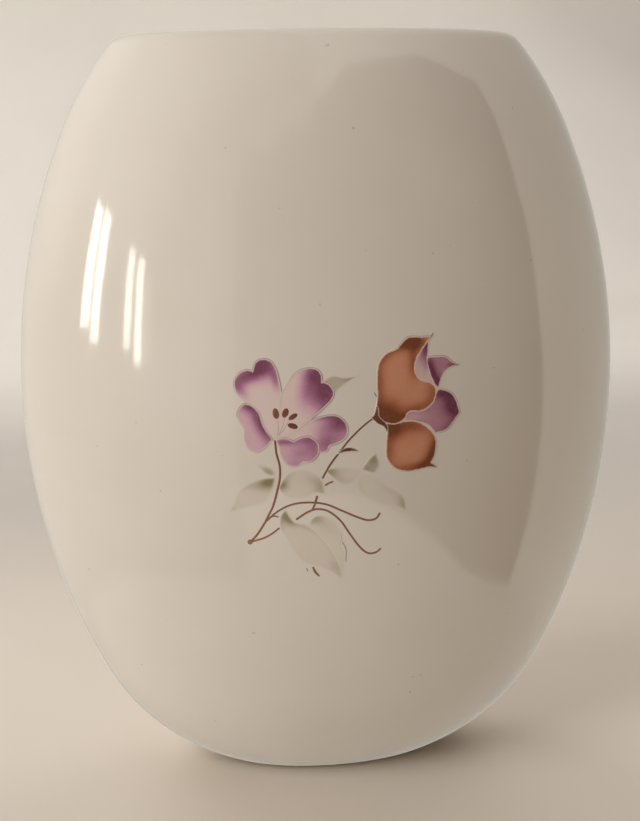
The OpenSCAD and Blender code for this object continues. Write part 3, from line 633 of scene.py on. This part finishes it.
# name, material, lift, base level, pooled edge (strength, reach), soft edge, airbrush puffs
FILMS = [
    ("leaf_left", LEAF, 0.05, 0.24, (0.06, 0.6), 0.7, [
        (-25.0, 106.8, 3.4, 2.0, 20, 0.78), (-29.0, 106.2, 4.5, 1.2, 15, 0.16),
        (-36, 98.5, 2, 1, 60, 0.1)]),
    ("leaf_left_small", LEAF, 0.05, 0.18, (0, 1), 0.7, [
        (-25.2, 110.0, 2.6, 1.5, -35, 0.5)]),
    ("leaf_centre", LEAF, 0.05, 0.18, (0.05, 0.6), 0.6, [
        (-21.9, 105.9, 2.4, 1.9, 0, 0.82), (-9.8, 104.4, 2.2, 2.6, 20, 0.42),
        (-12.0, 107.2, 3.0, 1.6, -20, 0.2), (-19.5, 108.3, 2.5, 1.2, 45, 0.2)]),
    ("leaf_right", LEAF, 0.05, 0.14, (0.04, 0.6), 0.6, [
        (-7.6, 109.6, 3.4, 1.8, -10, 0.66), (-3.2, 106.6, 3.5, 1.3, -15, 0.22)]),
    ("leaf_right_small", LEAF, 0.055, 0.52, (0, 1), 0.6, [
        (6.2, 112.8, 1.6, 2.2, 0, 0.32), (4.3, 110.0, 1.4, 1.0, 0, 0.2)]),
    ("leaf_right_long", LEAF, 0.045, 0.1, (0.05, 0.6), 0.7, [
        (15.9, 97.8, 3.0, 1.8, -60, 0.52), (11.5, 103.2, 4.5, 1.5, -38, 0.2),
        (2.0, 104.0, 1.0, 3.0, 10, 0.1)]),
    ("leaf_low_front", LEAF, 0.065, 0.2, (0.06, 0.5), 0.55, [
        (-19.6, 95.8, 3.1, 2.1, -45, 0.95), (-21.8, 93.0, 3.0, 1.0, 95, 0.25),
        (-13.0, 92.2, 6.0, 1.3, -25, 0.28), (-5.0, 78.8, 3.4, 1.8, -60, 0.26),
        (-7.0, 86.0, 6.0, 1.0, -52, 0.2)]),
    ("leaf_low_back", LEAF, 0.05, 0.12, (0.08, 0.5), 0.55, [
        (-11.8, 94.8, 3.0, 1.7, 5, 0.55), (-8.0, 92.6, 4.0, 2.4, -30, 0.2)]),
    ("leaflet", LEAF, 0.05, 0.52, (0, 1), 0.5, [
        (0.2, 137.9, 3.0, 1.3, 0, 0.3)]),
    ("petal_lower_right", LILAC, 0.08, 0.16, (0.1, 0.5), 0.25, [
        (-3.2, 124.6, 4.3, 3.3, -50, 0.7), (-7.5, 122.5, 4.2, 5.0, 0, 0.42),
        (-8.4, 117.6, 3.2, 2.8, 0, 0.42), (-8.5, 126.4, 3.5, 1.0, 5, 0.3),
        (-4.5, 119.5, 2.5, 1.6, 0, 0.15)]),
    ("petal_upper_right", LILAC, 0.10, 0.12, (0.22, 0.45), 0.25, [
        (-8.2, 134.0, 4.6, 6.6, 0, 0.92), (-10.6, 139.4, 3.2, 2.4, 0, 0.5),
        (-13.6, 135.5, 2.8, 6.0, -8, 0.36)]),
    ("petal_upper_left", LILAC, 0.12, 0.12, (0.06, 0.4), 0.25, [
        (-26.0, 142.4, 4.4, 4.0, -15, 0.92), (-33.2, 138.0, 4.2, 3.0, 45, 0.66),
        (-29.3, 139.4, 3.0, 2.2, 10, 0.34), (-22.6, 137.6, 3.0, 1.2, -80, 0.42),
        (-32.4, 134.4, 3.0, 1.4, -50, 0.28)]),
    ("petal_bottom", LILAC, 0.15, 0.34, (0.1, 0.4), 0.25, [
        (-11.8, 117.8, 2.6, 4.0, 10, 0.36), (-20.8, 119.2, 3.4, 1.0, 0, 0.42),
        (-14.2, 119.7, 3.4, 1.2, 10, 0.28), (-16.2, 116.9, 3.6, 2.6, 0, 0.16),
        (-15.8, 114.4, 4.2, 2.2, 0, 0.14), (-17.5, 112.4, 2.5, 1.2, 0, 0.15)]),
    ("petal_lower_left", LILAC, 0.15, 0.37, (0.06, 0.4), 0.25, [
        (-27.0, 124.6, 6.6, 1.9, -64, 0.62), (-30.8, 130.4, 2.8, 1.8, -5, 0.45)]),
    ("bud_violet_lower", VIOLET, 0.07, 0.5, (0.05, 0.4), 0.2, [
        (31.8, 127.6, 4.8, 3.3, -60, 0.7), (27.4, 131.6, 3.0, 1.6, 0, 0.35),
        (29.0, 121.0, 3.0, 1.4, 35, 0.2), (18.5, 124.9, 4.0, 2.0, 0, -0.25)]),
    ("bud_violet_curl", VIOLET, 0.09, 0.53, (0.08, 0.3), 0.2, [
        (24.6, 138.2, 4.6, 1.5, -75, 0.6), (26.4, 134.2, 2.6, 1.4, 90, 0.45),
        (31.4, 140.1, 1.8, 0.8, 0, 0.28)]),
    ("bud_violet_sliver", VIOLET, 0.11, 0.1, (0.05, 0.3), 0.15, [
        (22.9, 145.8, 4.0, 1.9, 75, 0.8), (23.0, 141.4, 3.0, 0.9, 85, 0.25)]),
    ("bud_calyx", BROWN, 0.18, 0.75, (0.1, 0.3), 0.12, [
        (7.2, 128.4, 1.6, 1.6, 0, -0.3), (8.6, 123.2, 1.6, 1.0, -40, 0.25)]),
    ("bud_lower_petal", RUSSET, 0.12, 0.14, (0.08, 0.5), 0.15, [
        (12.6, 121.8, 4.6, 3.2, -15, 0.84), (24.8, 112.2, 4.4, 2.8, 60, 0.8),
        (25.9, 116.6, 4.6, 2.2, 90, 0.5), (19.5, 122.2, 5.5, 2.2, -22, 0.5),
        (10.9, 115.4, 5.5, 2.4, 90, 0.55), (16.5, 109.0, 6.5, 2.2, 0, 0.5),
        (22.6, 109.6, 3.6, 1.6, 5, 0.5)]),
    ("bud_upper_petal", RUSSET, 0.14, 0.12, (0.08, 0.5), 0.15, [
        (20.0, 147.6, 4.0, 2.5, 8, 0.82), (23.6, 148.8, 2.2, 1.2, 10, -0.25),
        (15.6, 146.9, 3.8, 2.0, 25, 0.55), (10.2, 126.4, 5.6, 4.2, 30, 0.88),
        (7.9, 136.0, 9.0, 2.4, 90, 0.56), (10.4, 144.3, 4.0, 2.1, 40, 0.45),
        (19.0, 141.6, 5.4, 2.1, 90, 0.6), (20.5, 127.6, 5.5, 2.1, 12, 0.5),
        (24.9, 132.2, 4.2, 2.6, 90, 0.5), (16.0, 124.9, 3.0, 1.6, 25, 0.4),
        (12.6, 124.7, 3.6, 1.7, 5, 0.4)]),
    ("sepal", BROWN, 0.09, 0.82, (0, 1), 0.12, [
        (1.4, 115.6, 1.4, 1.0, 0, -0.3)]),
]
RINGS = {name: closed(points) for name, points in OUTLINES.items()}
for name, material, lift, base, edge, soft, puffs in FILMS:
    film(name + "_film", RINGS[name], lift, material, [name], base, puffs, edge, soft)

# The pale line left round each printed petal: name, lift, width
for name, lift, width in (
    ("petal_upper_left", 0.135, 0.23), ("petal_upper_right", 0.12, 0.23), ("petal_lower_left", 0.165, 0.2),
    ("petal_lower_right", 0.10, 0.2), ("petal_bottom", 0.165, 0.2), ("bud_upper_petal", 0.16, 0.34),
    ("bud_lower_petal", 0.14, 0.32), ("bud_violet_lower", 0.085, 0.24), ("bud_violet_curl", 0.10, 0.26),
):
    russet = name in ("bud_upper_petal", "bud_lower_petal")
    loop = rim(RINGS[name], 0.0, 1.0, 0.1)
    painted(name + "_outline", [ridge(loop, lambda t: width, lift)], PALE, [name], 0.8 if russet else 0.2)

# The thin grey line that shades part of a petal's edge: name, start and stop as shares of it, lift
for name, start, stop, lift in (
    ("petal_upper_left", 0.30, 0.97, 0.1), ("petal_upper_right", 0.30, 0.92, 0.1),
    ("petal_lower_left", 0.02, 0.50, 0.16), ("petal_lower_right", 0.20, 0.70, 0.1),
    ("petal_bottom", 0.03, 0.55, 0.165), ("bud_upper_petal", 0.0, 0.16, 0.12),
    ("bud_violet_lower", 0.0, 0.42, 0.09), ("bud_violet_curl", 0.02, 0.40, 0.1),
):
    border = rim(RINGS[name], start, stop, 0.28)
    shade = ridge(border, lambda t: 0.13 * min(1.0, 6 * t, 6 - 6 * t) + 0.02, lift)
    painted(name + "_line", [shade], SHADE, [name])

# Small dark tips and creases
TICKS = {
    "bud_lower_petal": [[(24.9, 109.9), (25.6, 109.2), (26.3, 108.7)]],
    "bud_upper_petal": [
        [(24.2, 148.6), (24.8, 149.2), (25.1, 150.0)],
        [(6.7, 133.1), (7.0, 132.4), (7.4, 131.9)],
    ],
    "bud_violet_curl": [[(31.6, 140.4), (32.6, 139.9), (33.6, 139.8)]],
    "leaf_low_front": [[(-14.2, 79.0), (-14.0, 78.5), (-14.0, 78.0)]],
    "leaf_low_back": [[(-3.3, 87.2), (-2.2, 84.4), (-2.3, 80.8)]],
}
for name, lines in TICKS.items():
    ticks = [ridge(opened(q), lambda t: 0.34 * (1 - 0.4 * abs(2 * t - 1)), 0.17) for q in lines]
    painted(name + "_tick", ticks, SHADE, [name], 0.4 if name == "leaf_low_back" else 0.9)
dash = ridge(opened([(-3.9, 90.4), (-3.7, 88.4), (-4.1, 86.2)]), lambda t: 0.3, 0.1)
painted("leaf_low_back_dash", [dash], PALE, ["leaf_low_back"], 0.3)

# Stems, tendrils and stamens
STEM_W, TENDRIL_W = 0.68, 0.62


def line(key, start, grow, lift, level):
    """One of the lines, with its width at the start, how much that grows to the end, and its colour level."""
    return ridge(opened(LINES[key]), lambda t: start + grow * t, lift) + (level,)


painted("stem_left_film", [
    line("stem_1", STEM_W, 0.15 * STEM_W, 0.11, 0.5),
    dot(*LINES["stem_1"][-1], 1.6, 1.7, 20, 0.14) + (0.3,)], STEM, ["stem_left"])
painted("stem_right_film", [
    line("stem_2", 0.8 * STEM_W, 0.25 * STEM_W, 0.09, 0.85),
    line("stem_2b", 1.15 * STEM_W, -0.1 * STEM_W, 0.09, 0.5),
    line("dash", STEM_W, -0.3 * STEM_W, 0.09, 0.5)], STEM, ["stem_right"])
painted("tendril_high_film", [
    line("tendril_1", TENDRIL_W, 0.2 * TENDRIL_W, 0.10, 0.5),
    line("twig", TENDRIL_W, -0.3 * TENDRIL_W, 0.09, 0.4)], STEM, ["tendril_high"])
mark = ridge(opened(LINES["mark"]), lambda t: TENDRIL_W * (0.9 + 0.5 * math.sin(math.pi * t)), 0.09)
painted("tendril_low_film", [
    line("tendril_2a", TENDRIL_W, 0.0, 0.09, 0.4),
    line("tendril_2b", 1.15 * TENDRIL_W, -0.1 * TENDRIL_W, 0.09, 0.5),
    mark + (0.4,)], STEM, ["tendril_low"])
anthers = [dot(*a, 0.17) + (0.45 + 0.1 * i,) for i, a in enumerate(ANTHERS)]
painted("stamens_film", anthers, BROWN, ["stamens"])
painted("filaments", [ridge(opened(f), lambda t: 0.28, 0.135) for f in FILAMENTS], SHADE, ["stamens"], 0.3)


# ---------------------------------------------------------------- floor, light and camera

def paper_material(colour, rough):
    """Pale mottled paper, with painted shade that makes it a little darker and cooler towards the back."""
    mat, nt, bsdf = tree_of("floor_paper_with_painted_shade")
    where = node(nt, "ShaderNodeTexCoord").outputs["Object"]
    mottled = noise(nt, where, 6.0, 3.0)
    dark = tuple(c * 0.97 for c in colour)
    table = ramp(nt, mottled, [(0.35, dark), (0.65, colour)])
    # Painted shade: the paper turns darker and cooler towards the back, standing in for the backdrop lying in
    # shade behind the table.
    depth = node(nt, "ShaderNodeSeparateXYZ")
    nt.links.new(where, depth.inputs[0])
    stops = [(0.08, (1, 1, 1)), (0.42, (0.72, 0.73, 0.755)), (0.95, (0.82, 0.84, 0.88))]
    far = ramp(nt, depth.outputs["Y"], stops)
    nt.links.new(mix(nt, 1.0, table, far, "MULTIPLY"), bsdf.inputs["Base Color"])
    bsdf.inputs["Roughness"].default_value = rough
    return mat


FLOOR_SIZE, BACK, SWEEP = 3.0, 1.6, 0.5


def make_floor():
    """A sheet of paper that runs back and sweeps up into the backdrop."""
    rows = [(-FLOOR_SIZE, 0.0), (BACK - SWEEP, 0.0)]
    for i in range(1, 17):
        a = math.pi / 2 * i / 16
        rows.append((BACK - SWEEP + SWEEP * math.sin(a), SWEEP - SWEEP * math.cos(a)))
    rows.append((BACK, FLOOR_SIZE))
    verts = [(x, y, z) for y, z in rows for x in (-FLOOR_SIZE, FLOOR_SIZE)]
    faces = [(2 * i, 2 * i + 1, 2 * i + 3, 2 * i + 2) for i in range(len(rows) - 1)]
    mesh = bpy.data.meshes.new("floor")
    mesh.from_pydata(verts, [], faces)
    mesh.polygons.foreach_set("use_smooth", [True] * len(mesh.polygons))
    mesh.materials.append(paper_material((0.70, 0.63, 0.545), 0.55))
    floor = bpy.data.objects.new("floor", mesh)
    floor.location.z = -0.0001
    floor.visible_glossy = False
    bpy.context.scene.collection.objects.link(floor)


make_floor()


LIT = Vector((0, 0, 0.13))


def lamp(name, azimuth, elevation, distance, width, height, power):
    """An area light that faces the vase: azimuth is degrees from the front (-Y) towards +X."""
    light = bpy.data.lights.new(name, "AREA")
    light.shape = "RECTANGLE"
    light.size, light.size_y, light.energy = width, height, power
    ob = bpy.data.objects.new(name, light)
    bpy.context.scene.collection.objects.link(ob)
    a, e = math.radians(azimuth), math.radians(elevation)
    way = Vector((math.sin(a) * math.cos(e), -math.cos(a) * math.cos(e), math.sin(e)))
    ob.location = LIT + way * distance
    ob.rotation_euler = way.to_track_quat("Z", "Y").to_euler()
    ob.visible_glossy = False
    return ob


# A broad soft window light from the left, and weak fills from behind: azimuth, elevation, distance,
# width, height, watts
lamp("key", -62, 28, 2.4, 1.6, 1.6, 38.2)
lamp("fill_left", -150, 30, 1.5, 1.0, 1.0, 9.2)
lamp("fill_right", 140, 30, 1.5, 1.0, 1.0, 5.0)


def wall_wash():
    """A lamp that faces away from the vase and brightens the upper backdrop."""
    ob = lamp("wall_wash", 150, 60, 0.75, 1.4, 0.3, 10.0)
    ob.rotation_euler = Vector((0, -1.0, -0.3)).to_track_quat("Z", "Y").to_euler()


wall_wash()


# Window strips and fainter glints: azimuth from and to, elevation from and to, whether the top leans,
# strength
GLINTS = [
    (-77.2, -71.9, 0.6, 18.6, True, 11.0), (-70.8, -66.3, -1.3, 19.4, True, 11.0),
    (-54.6, -51.9, -2.0, 18.9, True, 10.0), (-50.1, -47.5, -4.0, 18.8, True, 11.0),
    (-46.9, -43.8, -4.0, 17.5, True, 1.0), (-71.3, -70.9, -13.0, -1.3, False, 1.6),
    (-32.0, -31.4, -3.0, 6.0, False, 0.5), (-28.5, -25.0, -6.0, 20.0, False, 0.16),
]
# How the top of the dim room rises and falls: azimuth from and to, degrees of rise
ROOM_TOP = [(-8.6, -8.0, 3.0), (2.0, 2.8, 7.0), (4.0, 18.0, 9.0), (45.0, 68.0, -10.0)]
# Strength of the studio behind the vase
BEHIND = 0.58


def studio_world():
    """What the lights leave out: soft light from above, and the studio that the glaze mirrors, by
    direction: tall window strips on the left, a pale table below, a bright wall on the right and a dim
    room in front."""
    world = bpy.data.worlds.new("studio")
    bpy.context.scene.world = world
    world.use_nodes = True
    nt = world.node_tree
    nt.nodes.clear()

    def plus(a, b):
        return maths(nt, "ADD", a, b)

    def times(a, b):
        return maths(nt, "MULTIPLY", a, b)

    def either(a, b):
        return maths(nt, "MAXIMUM", a, b)

    def away(v):
        return maths(nt, "SUBTRACT", 1.0, v)

    def both(*vs):
        out = vs[0]
        for v in vs[1:]:
            out = times(out, v)
        return out

    def rise(v, a, b):
        n = node(nt, "ShaderNodeMapRange", interpolation_type="SMOOTHSTEP")
        nt.links.new(v, n.inputs["Value"])
        n.inputs["From Min"].default_value, n.inputs["From Max"].default_value = a, b
        return n.outputs[0]

    def band(v, a, b, s):
        return both(rise(v, a - s, a + s), away(rise(v, b - s, b + s)))

    # Azimuth and elevation of the direction, in degrees
    way = node(nt, "ShaderNodeSeparateXYZ")
    nt.links.new(node(nt, "ShaderNodeTexCoord").outputs["Generated"], way.inputs[0])
    az = times(maths(nt, "ARCTAN2", way.outputs["X"], times(way.outputs["Y"], -1.0)), 180 / math.pi)
    el = times(maths(nt, "ARCSINE", way.outputs["Z"]), 180 / math.pi)

    # The dim room in front, between the ceiling and the table
    top = 25.0
    for a, b, step in ROOM_TOP:
        top = plus(times(rise(az, a, b), step), top)
    over = rise(maths(nt, "SUBTRACT", el, top), -0.5, 0.5)
    under = away(rise(plus(el, plus(times(rise(az, 5, 60), 13.0), 22.0)), -0.5, 0.5))
    low_az = plus(az, times(maths(nt, "MINIMUM", el, 0.0), 0.1))
    on_right = rise(low_az, 67.2, 68.0)
    front = both(rise(az, -19.2, -18.4), away(on_right))
    room = both(front, away(over), away(under))

    table = either(away(rise(el, -37, -34)), both(front, under))
    ceiling = either(rise(el, 40, 50), both(front, over))
    rest = both(away(table), away(ceiling), away(room))
    left = both(rest, away(on_right))
    edge = both(away(rise(az, -101, -98)), rise(el, 4, 7))
    parts = [
        (table, 0.92), (ceiling, 0.42), (both(ceiling, rise(az, -2, 10)), 0.55),
        (both(rest, on_right), 1.06), (left, 0.42), (both(left, edge), 0.25),
    ]
    slant = times(plus(az, 77.0), 0.29)
    for a, b, low, high, leans, power in GLINTS:
        tall = plus(el, slant) if leans else el
        high_end = away(rise(tall, high - 0.3, high + 0.3))
        parts.append((both(band(az, a, b, 0.12), rise(el, low - 0.3, low + 0.3), high_end), power))
    total = 0.01
    for mask, power in parts:
        total = plus(times(mask, power), total)

    # Duller behind the vase, so that its rims neither flare nor go dark
    behind = rise(way.outputs["Y"], -0.05, 0.8)
    total = plus(both(total, away(behind)), times(behind, BEHIND))

    # Glossy rays see the studio, camera rays a plain wall, and all others the soft glow
    rays = node(nt, "ShaderNodeLightPath")
    shine = node(nt, "ShaderNodeBackground", Color=(1.0, 0.965, 0.86, 1.0))
    nt.links.new(total, shine.inputs["Strength"])
    glow = node(nt, "ShaderNodeBackground", Color=(0.375, 0.32, 0.28, 1.0))
    nt.links.new(rise(el, -20, 60), glow.inputs["Strength"])
    wall = node(nt, "ShaderNodeBackground", Color=(0.56, 0.49, 0.42, 1.0), Strength=1.0)
    seen, lit = node(nt, "ShaderNodeMixShader"), node(nt, "ShaderNodeMixShader")
    nt.links.new(rays.outputs["Is Glossy Ray"], lit.inputs[0])
    nt.links.new(glow.outputs[0], lit.inputs[1])
    nt.links.new(shine.outputs[0], lit.inputs[2])
    nt.links.new(rays.outputs["Is Camera Ray"], seen.inputs[0])
    nt.links.new(lit.outputs[0], seen.inputs[1])
    nt.links.new(wall.outputs[0], seen.inputs[2])
    nt.links.new(seen.outputs[0], node(nt, "ShaderNodeOutputWorld").inputs["Surface"])


studio_world()

# How far the camera stands from the vase's axis, how high, and from how far round to the left
CAM_AWAY, CAM_UP, CAM_ROUND = 0.4946, 0.2103, math.radians(9.0)
TURN, TILT, ROLL = math.radians(8.902), math.radians(10.61), math.radians(1.094)


def add_camera():
    lens = bpy.data.cameras.new("camera")
    lens.sensor_width = 36.0
    lens.lens = 65.7734
    lens.clip_start = 0.01
    camera = bpy.data.objects.new("camera", lens)
    bpy.context.scene.collection.objects.link(camera)
    stand = HEIGHT * MM / 0.24
    camera.location = (-CAM_AWAY * math.sin(CAM_ROUND) * stand, -CAM_AWAY * math.cos(CAM_ROUND) * stand,
                       CAM_UP * stand)
    aim = Matrix.Rotation(-TURN, 3, "Z") @ Matrix.Rotation(math.pi / 2 - TILT, 3, "X")
    camera.rotation_euler = (aim @ Matrix.Rotation(-ROLL, 3, "Z")).to_euler()
    bpy.context.scene.camera = camera


add_camera()
